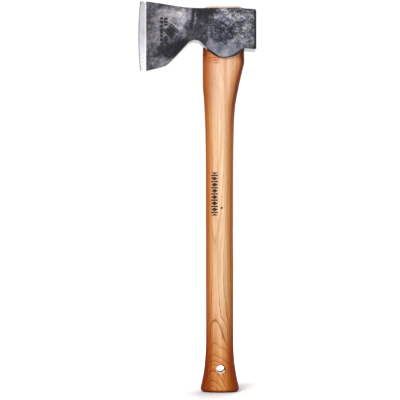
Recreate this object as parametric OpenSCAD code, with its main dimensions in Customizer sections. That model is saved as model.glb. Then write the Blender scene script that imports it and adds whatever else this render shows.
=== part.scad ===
// Single-bit axe: a forged steel head on a straight wooden haft, held by a
// wooden wedge in the tenon's kerf and a tapered steel ring driven over both.
// The origin is the centre of the haft's flat butt end. +Z runs up the haft,
// -X points to the cutting edge, +X to the poll, and Y is the thickness.

/* [Haft] */
// Length of the haft, from the butt to the end of the tenon
haft_len = 500; // [440:10:700]
// Width of the grip, from front to back
grip_w = 35.4; // [33:0.2:38]
// Thickness of the grip, from side to side
grip_t = 24; // [22:0.5:26]
// Width of the flared knob at the butt
knob_w = 49.8; // [46:0.2:54]
// Thickness of the knob
knob_t = 28; // [27:0.5:31]
// Radius of the rounded edge round the butt
butt_round = 4; // [2:0.5:5]
// Height of the hanging hole above the butt
hole_z = 30.5; // [26:0.5:40]
// How far the hanging hole lies behind the haft's axis
hole_x = 1; // [-2:0.2:2]
// Diameter of the hanging hole
hole_d = 10; // [8:0.5:12]
// Reach of the shoulder under the head, in front of the haft's axis
shoulder_front = 21.9; // [21.5:0.1:23.5]
// Reach of the shoulder under the head, behind the haft's axis
shoulder_back = 32; // [30:0.1:32.4]
// Thickness of the shoulder under the head
shoulder_t = 23.6; // [22.6:0.1:23.7]
// How far the tenon stands out of the top of the eye
tenon_proud = 2.8; // [0.5:0.1:3]

/* [Head] */
// Distance from the haft's axis to the middle of the cutting edge
bit_reach = 105.8; // [103:0.2:108]
// Distance from the haft's axis to the poll's face
poll_reach = 47.4; // [46:0.2:52]
// Radius of the cutting edge's sweep
edge_radius = 455; // [300:5:600]
// Width of the ground bevel at the cutting edge
bevel_w = 10.2; // [8:0.2:12]
// Thickness of the blade where the bevel begins
bevel_t = 4.4; // [4:0.1:5]
// Thickness of the head over the eye
cheek_t = 33; // [32:0.5:36]
// Thickness of a lug at its lower tip, over both cheeks
lug_t = 29.6; // [29:0.2:31]

/* [Eye] */
// Length of the eye at its waist, from front to back
eye_len = 46; // [45:0.2:47]
// Width of the eye at its waist, from side to side
eye_w = 22; // [21:0.2:23]
// How much longer and wider the eye is at its top than at its waist
eye_flare = 1.6; // [1:0.2:2.4]
// Gap between the tenon and the wall of the eye
eye_gap = 0.05; // [0.02:0.01:0.1]

/* [Wedges] */
// Thickness of the wooden wedge at its top
wedge_t = 6.4; // [5:0.2:7]
// Depth of the kerf that the wooden wedge fills
kerf_depth = 46; // [36:1:50]
// Outer diameter of the ring wedge at its top
ring_d = 16.6; // [14:0.2:18]
// Height of the ring wedge
ring_h = 18; // [12:1:22]

/* [Hidden] */
$fn = 72;

// Heights that the head and the haft share.
eye_top = haft_len - tenon_proud;  // the eye's rim
eye_x = 5;                         // the eye's centre lies behind the haft's axis
lug_depth = 64.2;                  // from the eye's rim down to the lugs' tips
waist_depth = 36;                  // from the eye's rim down to the eye's waist
neck_top = eye_top - 42;           // the shoulder, before the head's underside cuts it, ends here
far = 200;                         // longer than any cut

// Haft
SIDES = 40;                        // sides of each oval
oval = 2.3;                        // how square the haft's section is: 2 is an ellipse
knob_top = 64;                     // the knob has faded into the grip here
neck_low = eye_top - 148;          // the grip starts to widen towards the shoulder here
corner = eye_top - 69;             // the shoulder's back corner

// Head: every height is counted from the eye's rim
crown = 0.8;                       // the rim stands this far above the poll's top
edge_y = 0.1;                      // half the thickness of the sharp edge
edge_centre = [edge_radius - bit_reach, -35];
poll_chamfer = 2.6;                // bevel round the poll's face, but for its lower corner
heel_chamfer = 1.4;                // bevel of the poll's lower corner

// Wedges
wedge_tip = 1.6;                   // the wooden wedge's thickness at the kerf's bottom
ring_wall = 1.8;
ring_taper = 0.8;                  // the ring's outside narrows by this much a side
ring_sunk = 0.6;                   // the ring lies this far below the tenon's end

// ---- curves ----

// Slope of a table of [place, value...] rows at row i, for column c.
function slope(rows, i, c) =
    let (a = rows[max(i - 1, 0)], b = rows[min(i + 1, len(rows) - 1)])
    (b[c] - a[c]) / (b[0] - a[0]);

// The row below the place t in a table.
function row_at(rows, t, i = 0) =
    i >= len(rows) - 2 || t < rows[i + 1][0] ? i : row_at(rows, t, i + 1);

// Smooth value of column c at the place t.
function smooth(rows, t, c) =
    let (i = row_at(rows, t), a = rows[i], b = rows[i + 1], h = b[0] - a[0],
         s = (t - a[0]) / h, m = slope(rows, i, c) * h, n = slope(rows, i + 1, c) * h)
    (2 * s^3 - 3 * s^2 + 1) * a[c] + (s^3 - 2 * s^2 + s) * m
    + (3 * s^2 - 2 * s^3) * b[c] + (s^3 - s^2) * n;

// A smooth line through points, with n steps between each two.
function through(pts, n = 6) =
    let (rows = [for (i = [0:len(pts) - 1]) [i, pts[i][0], pts[i][1]]])
    [for (k = [0:n * (len(pts) - 1)]) [smooth(rows, k / n, 1), smooth(rows, k / n, 2)]];

// ---- ovals and lofts ----

// One oval: centre x, half length a, half width b, at height z.
function oval_at(x, a, b, z) = [for (i = [0:SIDES - 1])
    let (c = cos(360 * i / SIDES), s = sin(360 * i / SIDES))
    [x + a * sign(c) * pow(abs(c), 2 / oval), b * sign(s) * pow(abs(s), 2 / oval), z]];

// A closed solid through ovals that lie one above the other.
module loft(ovals) {
    n = len(ovals[0]);
    last = (len(ovals) - 1) * n;
    sides = [for (j = [0:len(ovals) - 2], i = [0:n - 1])
        let (a = j * n + i, b = j * n + (i + 1) % n)
        each [[a, a + n, b + n], [a, b + n, b]]];
    bottom = [for (i = [0:n - 1]) i];
    top = [for (i = [n - 1:-1:0]) last + i];
    polyhedron([for (o = ovals) each o], concat([bottom], sides, [top]));
}

// ---- haft ----

// Rows of [height, reach in front, reach behind, half thickness].
haft_rows = [
    [0, knob_w / 2 - 0.4, knob_w / 2 + 0.4, knob_t / 2],
    [6, knob_w / 2 - 0.5, knob_w / 2 + 0.3, knob_t / 2],
    [15, knob_w / 2 - 2.4, knob_w / 2 - 1.7, knob_t / 2 - 0.6],
    [26, knob_w / 2 - 4.3, knob_w / 2 - 3.6, grip_t / 2 + 0.9],
    [36, grip_w / 2 + 1.7, grip_w / 2 + 2.1, grip_t / 2 + 0.5],
    [48, grip_w / 2 + 0.8, grip_w / 2 + 1, grip_t / 2 + 0.1],
    [knob_top, grip_w / 2 + 0.1, grip_w / 2 + 0.5, grip_t / 2],
    [knob_top + 86, grip_w / 2 + 0.1, grip_w / 2 + 0.4, grip_t / 2],
    [knob_top + 140, grip_w / 2, grip_w / 2, grip_t / 2 - 0.1],
    [neck_low - 50, grip_w / 2 + 0.2, grip_w / 2 + 0.2, grip_t / 2],
    [neck_low, grip_w / 2 + 1.1, grip_w / 2 + 1.2, grip_t / 2 + 0.2],
    [corner - 58, shoulder_front - 2.1, grip_w / 2 + 2.6, grip_t / 2 + 0.3],
    [corner - 46, shoulder_front - 1.4, shoulder_back - 10, grip_t / 2 + 0.3],
    [corner - 36, shoulder_front - 0.4, shoulder_back - 8, grip_t / 2 + 0.2],
    [corner - 26, shoulder_front - 0.1, shoulder_back - 6, shoulder_t / 2 + 0.2],
    [corner - 10, shoulder_front, shoulder_back - 2.2, shoulder_t / 2],
    [corner, shoulder_front, shoulder_back, shoulder_t / 2],
    [corner + 12, shoulder_front - 0.1, shoulder_back - 0.1, shoulder_t / 2],
    [neck_top, shoulder_front - 0.2, shoulder_back - 0.2, shoulder_t / 2],
];

// The haft's outline at height z, drawn in by inset all round.
function haft_oval(z, inset = 0) =
    let (front = smooth(haft_rows, z, 1), back = smooth(haft_rows, z, 2))
    oval_at((back - front) / 2, (back + front) / 2 - inset, smooth(haft_rows, z, 3) - inset, z);

module haft_body() {
    round_steps = 5;
    butt = [for (k = [0:round_steps])
        let (q = 90 * k / round_steps)
        haft_oval(butt_round * (1 - cos(q)), butt_round * (1 - sin(q)))];
    knob = [for (z = [8:4:knob_top]) haft_oval(z)];
    grip_steps = 11;
    grip = [for (k = [1:grip_steps]) haft_oval(knob_top + (neck_low - knob_top) * k / grip_steps)];
    neck_steps = 18;
    neck = [for (k = [1:neck_steps]) haft_oval(neck_low + (neck_top - neck_low) * k / neck_steps)];
    loft(concat(butt, knob, grip, neck));
}

// Rows of [height, half length, half width] of the eye.
eye_rows = [
    [eye_top - lug_depth - 8, eye_len / 2 + 0.9, eye_w / 2 + 0.9],
    [eye_top - waist_depth, eye_len / 2, eye_w / 2],
    [haft_len + 2, (eye_len + eye_flare) / 2, (eye_w + eye_flare) / 2],
];

function eye_half(z, column) = lookup(z, [for (row = eye_rows) [row[0], row[column]]]);

// What fills the eye, from height low to height high, grown all round by gap.
module eye_fill(low, high, gap = 0) {
    waist = eye_top - waist_depth;
    loft([for (z = [low, (low + waist) / 2, waist, (waist + high) / 2, high])
        oval_at(eye_x, eye_half(z, 1) + gap, eye_half(z, 2) + gap, z)]);
}

// The wedge-shaped kerf along the whole eye.
module kerf(top) {
    grow = (wedge_t - wedge_tip) / 2 * (top - haft_len) / kerf_depth;
    low = haft_len - kerf_depth;
    rotate([90, 0, 90]) linear_extrude(far, center = true)
        polygon([[-wedge_tip / 2, low], [wedge_tip / 2, low],
                 [wedge_t / 2 + grow, top], [-wedge_t / 2 - grow, top]]);
}

module haft() {
    color("burlywood") difference() {
        union() {
            difference() {
                haft_body();
                outline_prism();
            }
            eye_fill(eye_top - lug_depth - 6, haft_len);
        }
        kerf(haft_len + 1);
        ring(above = 2);
        translate([hole_x, 0, hole_z]) rotate([90, 0, 0]) cylinder(d = hole_d, h = far, center = true);
    }
}

// ---- wedges ----

module eye_wedge() {
    color("wheat") difference() {
        intersection() {
            eye_fill(haft_len - kerf_depth - 1, haft_len);
            kerf(haft_len + 1);
        }
        ring(above = 2);
    }
}

// The tapered ring, with a tube above it that opens its seat to the top.
module ring(above = 0) {
    outer = ring_d / 2;
    inner = outer - ring_wall;
    top = ring_h + above;
    translate([eye_x, 0, haft_len - ring_sunk - ring_h]) rotate_extrude() polygon([
        [inner, 0], [outer - ring_taper, 0], [outer, ring_h], if (above > 0) [outer, top], [inner, top]]);
}

module ring_wedge() {
    color("dimgray") ring();
}

// ---- head ----

// The head from the side, as [x, height over the eye's rim]. It runs past the
// cutting edge, which bit_sweep() cuts.
top_line = through([
    [-bit_reach - 6, 11.9], [-95, 10.3], [-76, 7.4], [-60, 4.6], [-44, 2], [-31, 0.7], [-22, 0.1]], 4);
rim_line = [[-17, 0], [29, 0], [33, -crown]];
poll_line = [
    [poll_reach - poll_chamfer, -crown - 0.6], [poll_reach, -crown - poll_chamfer - 0.6],
    [poll_reach, -54 + heel_chamfer], [poll_reach - heel_chamfer, -54]];
lug_back = through([[30.6, -52.6], [25.5, -56], [19, -60.4], [13, -63], [8, -lug_depth]], 4);
lug_front = through([
    [3, -lug_depth], [-2, -62.4], [-7, -58.8], [-14, -53.9], [-20.9, -48.8], [-26, -44.2], [-32.4, -42.3],
    [-39, -44], [-44.2, -48.8], [-56, -61], [-67, -71.6], [-72, -74.5], [-80, -76.7], [-90, -79.1],
    [-99, -81]], 4);
heel_corner = [[-101.8, -80], [-103.8, -76.6], [-bit_reach - 6, -68]];

module outline_prism() {
    translate([0, 0, eye_top]) rotate([90, 0, 0]) linear_extrude(far, center = true)
        polygon(concat(top_line, rim_line, poll_line, lug_back, lug_front, heel_corner));
}

// The head from above: half the thickness along x.
cheek_line = through([
    [-bit_reach - 6, 1.3], [bevel_w - bit_reach, bevel_t / 2], [-76, 3.5], [-57, 5], [-44, 7.1],
    [-33, 10.2], [-22, 13.8], [-12, cheek_t / 2 - 0.5], [0, cheek_t / 2], [14, cheek_t / 2],
    [30, cheek_t / 2 - 0.3], [poll_reach - poll_chamfer, cheek_t / 2 - 0.9]], 4);
poll_edge = [poll_reach, cheek_t / 2 - 0.9 - poll_chamfer];

module cheek_prism() {
    half = concat(cheek_line, [poll_edge]);
    other = [for (i = [len(half) - 1:-1:0]) [half[i][0], -half[i][1]]];
    translate([0, 0, eye_top - far / 2]) linear_extrude(far) polygon(concat(half, other));
}

// The ground edge: two shallow cones that meet in the arc of the cutting edge.
module bit_sweep() {
    rise = (bevel_t / 2 - edge_y) / bevel_w * edge_radius;
    translate([edge_centre[0], 0, eye_top + edge_centre[1]]) rotate([90, 0, 0]) rotate_extrude()
        polygon([[0, -edge_y - rise], [edge_radius, -edge_y], [edge_radius, edge_y], [0, edge_y + rise]]);
}

// The lugs thin out towards their tips.
module lug_taper() {
    high = -44;
    rotate([90, 0, 90]) linear_extrude(2 * far, center = true) translate([0, eye_top])
        polygon([[-cheek_t, 30], [-cheek_t / 2 - 0.2, high], [-lug_t / 2, -lug_depth], [-lug_t / 2, -far / 2],
                 [lug_t / 2, -far / 2], [lug_t / 2, -lug_depth], [cheek_t / 2 + 0.2, high], [cheek_t, 30]]);
}

module head() {
    color("slategray") difference() {
        intersection() {
            outline_prism();
            cheek_prism();
            lug_taper();
            bit_sweep();
        }
        eye_fill(eye_top - lug_depth - 6, haft_len + 1, eye_gap);
    }
}

haft();
head();
eye_wedge();
ring_wedge();
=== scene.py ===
"""A single-bit axe: its looks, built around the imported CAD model.

The haft runs up +Z from its butt at the origin, the cutting edge faces -X, the
poll +X, and Y is the thickness. Lengths in the shape code are millimetres, and
heights on the head are counted from the eye's rim, as in the CAD source.
"""
from collections import namedtuple
from math import atan2, copysign, cos, dist, exp, pi, radians, sin, sqrt

import bmesh
import bpy
import numpy as np
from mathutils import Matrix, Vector, noise


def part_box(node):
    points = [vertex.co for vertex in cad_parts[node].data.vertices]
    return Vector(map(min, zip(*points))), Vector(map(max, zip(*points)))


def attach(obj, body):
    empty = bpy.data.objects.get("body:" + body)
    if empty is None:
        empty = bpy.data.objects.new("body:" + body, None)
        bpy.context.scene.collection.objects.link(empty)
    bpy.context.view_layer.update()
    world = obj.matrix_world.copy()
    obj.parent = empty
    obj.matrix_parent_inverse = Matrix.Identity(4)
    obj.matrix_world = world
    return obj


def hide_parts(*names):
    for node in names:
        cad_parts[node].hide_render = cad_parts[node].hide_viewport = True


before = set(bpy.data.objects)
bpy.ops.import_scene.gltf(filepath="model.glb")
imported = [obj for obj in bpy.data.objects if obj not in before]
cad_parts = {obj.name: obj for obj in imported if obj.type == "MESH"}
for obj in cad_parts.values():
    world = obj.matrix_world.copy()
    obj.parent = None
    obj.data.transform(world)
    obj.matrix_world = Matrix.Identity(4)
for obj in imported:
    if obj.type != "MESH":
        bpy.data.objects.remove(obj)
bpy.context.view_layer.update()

MM = 0.001


def box_mm(node):
    """The lowest and highest corner of a CAD node, in millimetres."""
    low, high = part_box(node)
    return low / MM, high / MM


_, haft_high = box_mm("haft")
head_low, head_high = box_mm("head")
ring_low, ring_high = box_mm("ring_wedge")
wedge_low, wedge_high = box_mm("eye_wedge")

# ---- driving sizes, in millimetres ----

FRONT, BACK = -1, 1
HAFT_LEN = haft_high.z
TENON_PROUD = 2.8
EYE_TOP = HAFT_LEN - TENON_PROUD
BIT_REACH = -head_low.x
POLL_REACH = head_high.x
CHEEK = head_high.y
# The power of the ovals. 2 would make ellipses.
OVAL = 2.3

GRIP = 17.7
GRIP_THICK = 12.0
KNOB = 24.9
KNOB_THICK = haft_high.y
BUTT_ROUND = 4.0
HOLE = Vector((1.0, 0.0, 30.5))
HOLE_R = 5.0
HOLE_ROUND = 0.8
SHOULDER_FRONT = 21.9
SHOULDER_BACK = haft_high.x
SHOULDER_THICK = 11.8

EYE_X = (ring_low.x + ring_high.x) / 2
EYE_LEN = 23.0
EYE_WIDE = 11.0
EYE_BEVEL = 0.7
WAIST = -36.0
# The eye flares from its waist to these heights, by these amounts.
FLARE_TOP, EYE_FLARE = TENON_PROUD + 2, 0.8
FLARE_LOW, LOW_FLARE = WAIST - 36.2, 0.9
LUG_TIP = -64.2
LUG_THICK = 14.8

EDGE_RADIUS = 455.0
EDGE_MIDDLE = -35.0
EDGE_THICK = 0.06
BEVEL_X = -95.4
# The honed strip's parts of the bevel's length and thickness.
HONED, HONED_THICK = 0.17, 0.23
TOE, TOE_ROUND = 11.0, 1.3
HEEL, HEEL_ROUND = -81.0, 4.5
HEEL_CORNER = HEEL + 4
POLL_ROUND = 2.6
# The crease where the neck was drawn out: a place on it, and its lean.
CREASE_X, CREASE_Z, CREASE_LEAN = -35.0, -15.0, 0.12


# ---- curves ----

LINE_STEPS = 10


def smooth(rows, place, column):
    """A smooth value from a table of [place, value...] rows, as the CAD source reads it."""
    last = len(rows) - 2
    i = max([k for k in range(last + 1) if rows[k][0] <= place] or [0])

    def slope(k):
        a, b = rows[max(k - 1, 0)], rows[min(k + 1, len(rows) - 1)]
        return (b[column] - a[column]) / (b[0] - a[0])

    a, b = rows[i], rows[i + 1]
    h = b[0] - a[0]
    s = (place - a[0]) / h
    return ((2 * s**3 - 3 * s**2 + 1) * a[column] + (s**3 - 2 * s**2 + s) * slope(i) * h
            + (3 * s**2 - 2 * s**3) * b[column] + (s**3 - s**2) * slope(i + 1) * h)


def through(points):
    """A smooth line through points."""
    rows = [[i, *p] for i, p in enumerate(points)]
    places = [k / LINE_STEPS for k in range(LINE_STEPS * (len(points) - 1) + 1)]
    return [(smooth(rows, t, 1), smooth(rows, t, 2)) for t in places]


def reader(points):
    """A function that reads a line's second value at a first value."""
    line = sorted(points)
    xs, ys = [p[0] for p in line], [p[1] for p in line]
    return lambda x: float(np.interp(x, xs, ys))


def step(low, high, value):
    """0 below low, 1 above high, and a smooth rise between them."""
    t = min(max((value - low) / (high - low), 0.0), 1.0)
    return t * t * (3 - 2 * t)


def lerp(a, b, t):
    return a + (b - a) * t


def rough(x, y, z, size, seed):
    """Smooth noise between about -1 and 1, with bumps about size across."""
    return noise.noise(Vector((x / size + seed, y / size - seed, z / size + 3.1 * seed)))


def oval_point(half_length, half_width, angle):
    """A point of an oval's rim, counted from its middle."""
    c, s = cos(angle), sin(angle)
    return (half_length * copysign(abs(c) ** (2 / OVAL), c),
            half_width * copysign(abs(s) ** (2 / OVAL), s))


def eye_oval(z, grow=0.0):
    """Half length and half width of the eye at a height, grown all round."""
    end, most = (FLARE_TOP, EYE_FLARE) if z > WAIST else (FLARE_LOW, LOW_FLARE)
    flare = most * (z - WAIST) / (end - WAIST)
    return EYE_LEN + flare + grow, EYE_WIDE + flare + grow


# ---- meshes ----

def new_object(name, data):
    made = bpy.data.objects.new(name, data)
    bpy.context.scene.collection.objects.link(made)
    return made


def add_object(name, bm, node=None, sharp=40.0):
    """An object from a bmesh in millimetres: a piece that stands for a node, or a tool for a cut."""
    bmesh.ops.remove_doubles(bm, verts=bm.verts, dist=1e-5)
    bmesh.ops.recalc_face_normals(bm, faces=bm.faces)
    for face in bm.faces:
        face.smooth = True
    for edge in bm.edges:
        edge.smooth = len(edge.link_faces) == 2 and edge.calc_face_angle() < radians(sharp)
    bmesh.ops.scale(bm, vec=(MM, MM, MM), verts=bm.verts)
    mesh = bpy.data.meshes.new(name)
    bm.to_mesh(mesh)
    bm.free()
    piece = new_object(name, mesh)
    if node:
        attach(piece, "root")
        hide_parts(node)
    return piece


def quads(bm, grid, material=0, closed=False):
    """Faces between the rows of a grid of vertices. Corners that are one vertex are joined."""
    for a, b in zip(grid, grid[1:]):
        pairs = list(zip(a, b))
        if closed:
            pairs.append(pairs[0])
        for (p, q), (r, s) in zip(pairs, pairs[1:]):
            corners = []
            for v in (p, r, s, q):
                if v not in corners:
                    corners.append(v)
            if len(corners) > 2 and not bm.faces.get(corners):
                bm.faces.new(corners).material_index = material


def cut(piece, tool, operation="DIFFERENCE"):
    """Applies a boolean to a piece, and removes the tool."""
    modifier = piece.modifiers.new("cut", "BOOLEAN")
    modifier.operation = operation
    modifier.solver = "EXACT"
    modifier.object = tool
    bpy.context.view_layer.update()
    evaluated = piece.evaluated_get(bpy.context.evaluated_depsgraph_get())
    made = bpy.data.meshes.new_from_object(evaluated)
    piece.modifiers.clear()
    piece.data = made
    bpy.data.objects.remove(tool)


# ---- head ----

TOP_LINE = reader(through([
    (-BIT_REACH - 6, 11.9), (-95, 10.3), (-76, 7.4), (-60, 4.6), (-44, 2), (-31, 0.7), (-22, 0.1)])
    + [(-17, 0), (29, 0), (33, -0.8), (POLL_REACH, -1.5)])
UNDER_LINE = reader(
    [(POLL_REACH, -54)]
    + through([(30.6, -52.6), (25.5, -56), (19, -60.4), (13, -63), (8, LUG_TIP)])
    + through([
        (3, LUG_TIP), (-2, -62.4), (-7, -58.8), (-14, -53.9), (-20.9, -48.8), (-26, -44.2), (-32.4, -42.3),
        (-39, -44), (-44.2, -48.8), (-56, -61), (-67, -71.6), (-72, -74.5), (-80, -76.7), (-90, -79.1),
        (-99, -81)])
    + [(-BIT_REACH, -82)])
CHEEK_LINE = reader(through([
    (-BIT_REACH - 6, 1.9), (BEVEL_X, 2.2), (-76, 3.5), (-57, 5), (-44, 7.1), (-33, 10.2), (-22, 13.8),
    (-12, CHEEK - 0.5), (0, CHEEK), (14, CHEEK), (30, CHEEK - 0.3), (POLL_REACH, CHEEK - 0.9)]))

# The forged skin's bumps: [depth, size, seed].
BUMPS = [[0.22, 17, 1], [0.12, 7, 2], [0.05, 2.6, 3]]
DENT_DEPTH, DENT_SIZE = 0.22, 11
CREASE_DEPTH, CREASE_WIDE = 0.4, 1.1

FORGED, GROUND, POLL_FACE = 0, 1, 2
# A column of the head's vertices. u runs over the bevel, and angle round the eye.
Column = namedtuple("Column", "kind x u angle inset", defaults=(0, 0, 0, 0))
BEVEL_COLUMNS = [0, 0.015, 0.05, 0.1, 0.17, 0.24, 0.36, 0.5, 0.64, 0.78, 0.9, 0.97, 1]
COLUMN_STEP = 0.9
EYE_COLUMNS = 60
EYE_TIP = eye_oval(-10, EYE_BEVEL)[0]
POLL_TURNS = [22, 45, 66, 82]
FACE_ROWS = 84
ROUND_ROWS = 5
STRIP = 8


def edge_x(z):
    """The cutting edge at a height."""
    return EDGE_RADIUS - BIT_REACH - sqrt(EDGE_RADIUS**2 - (z - EDGE_MIDDLE) ** 2)


def cheek(x, z, side):
    """The forged body's half thickness on a side."""
    # The front of the eye's boss leans back towards the lug's tip.
    boss = x - 5 * step(-28, -54, z)
    lug = lerp(CHEEK + 0.2, LUG_THICK, step(-40, LUG_TIP - 4, z) ** 0.8)
    thick = min(CHEEK_LINE(boss), lug)
    # The blade thins a little towards its toe and heel.
    thick -= 0.35 * step(-40, -70, x) * ((z + 36) / 46) ** 2
    # Hammer marks, scale and dents fade out towards the bevel.
    away = step(0, 6, x - BEVEL_X)
    thick += away * sum(depth * rough(x, side * 40, z, size, seed) for depth, size, seed in BUMPS)
    dents = noise.voronoi(Vector((x / DENT_SIZE, side * 5.0, z / DENT_SIZE)))[0][0]
    thick -= DENT_DEPTH * away * step(0.45, 0.0, dents) * step(-60, -30, x)
    crease = CREASE_X + CREASE_LEAN * (z - CREASE_Z) + 0.8 * rough(x, side, z, 5, 4)
    depth = CREASE_DEPTH * exp(-((x - crease) / CREASE_WIDE) ** 2)
    return thick - depth * step(-34, -24, z) * step(0, -5, z)


def even_angles(half_length, half_width, count):
    """Angles from the oval's front tip to its back tip, at equal steps along its rim."""
    samples = 720
    fine = [pi * k / samples for k in range(samples + 1)]
    points = [oval_point(half_length, half_width, a) for a in fine]
    runs = [0.0]
    for p, q in zip(points, points[1:]):
        runs.append(runs[-1] + dist(p, q))
    marks = [runs[-1] * k / count for k in range(count + 1)]
    return [pi - float(np.interp(m, runs, fine)) for m in marks]


def body_columns(start, end):
    """Even columns over the forged body, after its start and up to its end."""
    steps = round((end - start) / COLUMN_STEP)
    return [Column("body", lerp(start, end, k / steps)) for k in range(1, steps + 1)]


def head_columns():
    """The head's columns from the edge to the poll."""
    columns = [Column("bevel", u=u) for u in BEVEL_COLUMNS]
    front, back = EYE_X - EYE_TIP, EYE_X + EYE_TIP
    columns += body_columns(BEVEL_X, front)[:-1]
    for k, angle in enumerate(even_angles(*eye_oval(-10), EYE_COLUMNS)):
        columns.append(Column("eye", lerp(front, back, k / EYE_COLUMNS), angle=angle))
    end = POLL_REACH - POLL_ROUND
    columns += body_columns(back, end)
    for turn in POLL_TURNS:
        q = radians(turn)
        columns.append(Column("poll", end + POLL_ROUND * sin(q), inset=POLL_ROUND * (1 - cos(q))))
    return columns


def rounding(along, radius):
    """How far a rounded corner draws in, at a place along it."""
    short = min(max(1 - along / radius, 0.0), 1.0)
    return radius * (1 - sqrt(1 - short * short))


def column_ends(column):
    """The bottom and the top of a column."""
    if column.kind == "bevel":
        # The toe and the heel are rounded off where they meet the edge.
        heel_x, toe_x = edge_x(HEEL_CORNER), edge_x(TOE)
        low_x, high_x = lerp(heel_x, BEVEL_X, column.u), lerp(toe_x, BEVEL_X, column.u)
        heel = rounding(low_x - heel_x, HEEL_ROUND)
        toe = rounding(high_x - toe_x, TOE_ROUND)
        return UNDER_LINE(low_x) + heel, TOP_LINE(high_x) - toe
    x, inset = column.x, column.inset
    wobble = 0.12 * rough(x, 0, 0, 9, 5)
    return UNDER_LINE(x) + wobble + inset * 0.55, TOP_LINE(x) + wobble - inset


def face_rows(low, high, under, over):
    """Rows up a face between borders rounded by two radii: [height, how far the face draws in]."""
    turns = [pi / 2 * k / ROUND_ROWS for k in range(ROUND_ROWS + 1)]
    rise = [[low + under * (1 - cos(q)), under * (1 - sin(q))] for q in turns]
    middle = [[lerp(low + under, high - over, k / FACE_ROWS), 0.0] for k in range(1, FACE_ROWS)]
    fall = [[high - over * (1 - cos(q)), over * (1 - sin(q))] for q in reversed(turns)]
    return rise + middle + fall


def grind(u):
    """Half thickness over the bevel, as a part of the whole."""
    return float(np.interp(u, (0, HONED, 1), (0, HONED_THICK, 1)))


def bevel_side(u, side, low, high):
    """The points of a bevel's column. u is 0 at the edge and 1 at the forged skin."""
    radius = min(0.35 * grind(u) * cheek(BEVEL_X, low, side), 0.5) + 0.02
    points = []
    for z, drawn in face_rows(low, high, radius, radius):
        x = lerp(edge_x(min(max(z, HEEL_CORNER), TOE)), BEVEL_X, u)
        thick = EDGE_THICK + (cheek(BEVEL_X, z, side) - EDGE_THICK) * grind(u)
        points.append((x, side * (thick - drawn), z))
    return points


def head_side(column, side):
    """The points of a column's face, from the bottom to the top."""
    low, high = column_ends(column)
    if column.kind == "bevel":
        return bevel_side(column.u, side, low, high)
    x, inset = column.x, column.inset
    over = lerp(0.7, 1.6, step(-80, -20, x)) * lerp(0.5, 1, step(0, 12, x - BEVEL_X))
    under = lerp(0.35, 0.8, step(-26, -14, x))
    under += (0.7 * step(-84, -74, x) + step(-52, -40, x)) * step(-18, -26, x)
    rows = face_rows(low, high, under, over)
    return [(x, side * (cheek(x, z, side) - drawn - inset), z) for z, drawn in rows]


def strip_points(column, corner, side, top):
    """Points from a face's corner to the centre line, or to the rim of the eye."""
    x, y, z = corner
    goal = (x, 0.0)
    if column.kind == "eye":
        rim_x, rim_y = oval_point(*eye_oval(z, EYE_BEVEL), column.angle)
        goal = (EYE_X + rim_x, side * rim_y)
    points = []
    for k in range(1, STRIP + 1):
        t = k / STRIP
        px, py = lerp(x, goal[0], t), lerp(y, goal[1], t)
        swell = 0.10 * rough(px, py, top * 50, 5, 6) * min(1, 3 * t) * step(0, 8, px - BEVEL_X)
        points.append((px, py, z if column.kind == "poll" else z + swell))
    return points


def head_face(bm, columns, side):
    """The columns of vertices of a side, with the material's masks on their borders."""
    rim, ridge = (bm.verts.layers.float[name] for name in ("rim", "ridge"))
    lines = []
    for column in columns:
        line = [bm.verts.new(p) for p in head_side(column, side)]
        for k in range(ROUND_ROWS + 2):
            line[k][rim] = 1.0 if k <= ROUND_ROWS else 0.3
            line[-1 - k][ridge] = 1.0 if k <= ROUND_ROWS else 0.4
        # The poll's border takes the painted shade all round.
        if column.kind != "bevel" and column.x > POLL_REACH - POLL_ROUND - 0.6:
            for v in line:
                v[rim] = 1.0
        lines.append(line)
    return lines


def head_strip(bm, columns, face, side, top):
    """Rows of vertices from a side's lower or upper border to the head's middle."""
    rows = []
    for column, line in zip(columns, face):
        corner = line[-1 if top else 0]
        inner = [bm.verts.new(p) for p in strip_points(column, tuple(corner.co), side, top)]
        rows.append([corner] + inner)
    return rows


def join_strips(bm, front, back, eye):
    """Makes a strip's halves share the centre line, but for the eye between its tips."""
    for i in range(len(front)):
        if i not in eye[1:-1]:
            middle, other = front[i][-1], back[i][-1]
            middle.co = (middle.co + other.co) / 2
            middle.co.y = 0
            bm.verts.remove(other)
            back[i][-1] = middle


def eye_wall(bm, columns, strips, eye):
    """The wall of the eye between its two rims. Both sides share its tips."""
    tips = {}
    for side in (FRONT, BACK):
        walls = []
        for i in eye:
            if i in tips:
                walls.append(tips[i])
                continue
            at_tip = i in (eye[0], eye[-1])
            top_rim, low_rim = strips[1, side][i][-1], strips[0, side][i][-1]
            wall = [top_rim]
            for z in (top_rim.co.z - EYE_BEVEL, -8, -18, -28, WAIST, -42, low_rim.co.z + EYE_BEVEL):
                x, y = oval_point(*eye_oval(z), columns[i].angle)
                wall.append(bm.verts.new((EYE_X + x, 0 if at_tip else side * y, z)))
            wall.append(low_rim)
            walls.append(wall)
            if at_tip:
                tips[i] = wall
        quads(bm, walls, FORGED)


def end_face(bm, faces, strips, i, material):
    """The face across an end of the head: the cutting edge, or the poll."""
    grid = [strips[0, FRONT][i] + strips[0, BACK][i][-2::-1]]
    for a, b in list(zip(faces[FRONT][i], faces[BACK][i]))[1:-1]:
        between = [bm.verts.new(a.co.lerp(b.co, k / (2 * STRIP))) for k in range(1, 2 * STRIP)]
        grid.append([a] + between + [b])
    grid.append(strips[1, FRONT][i] + strips[1, BACK][i][-2::-1])
    quads(bm, grid, material)


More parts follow.
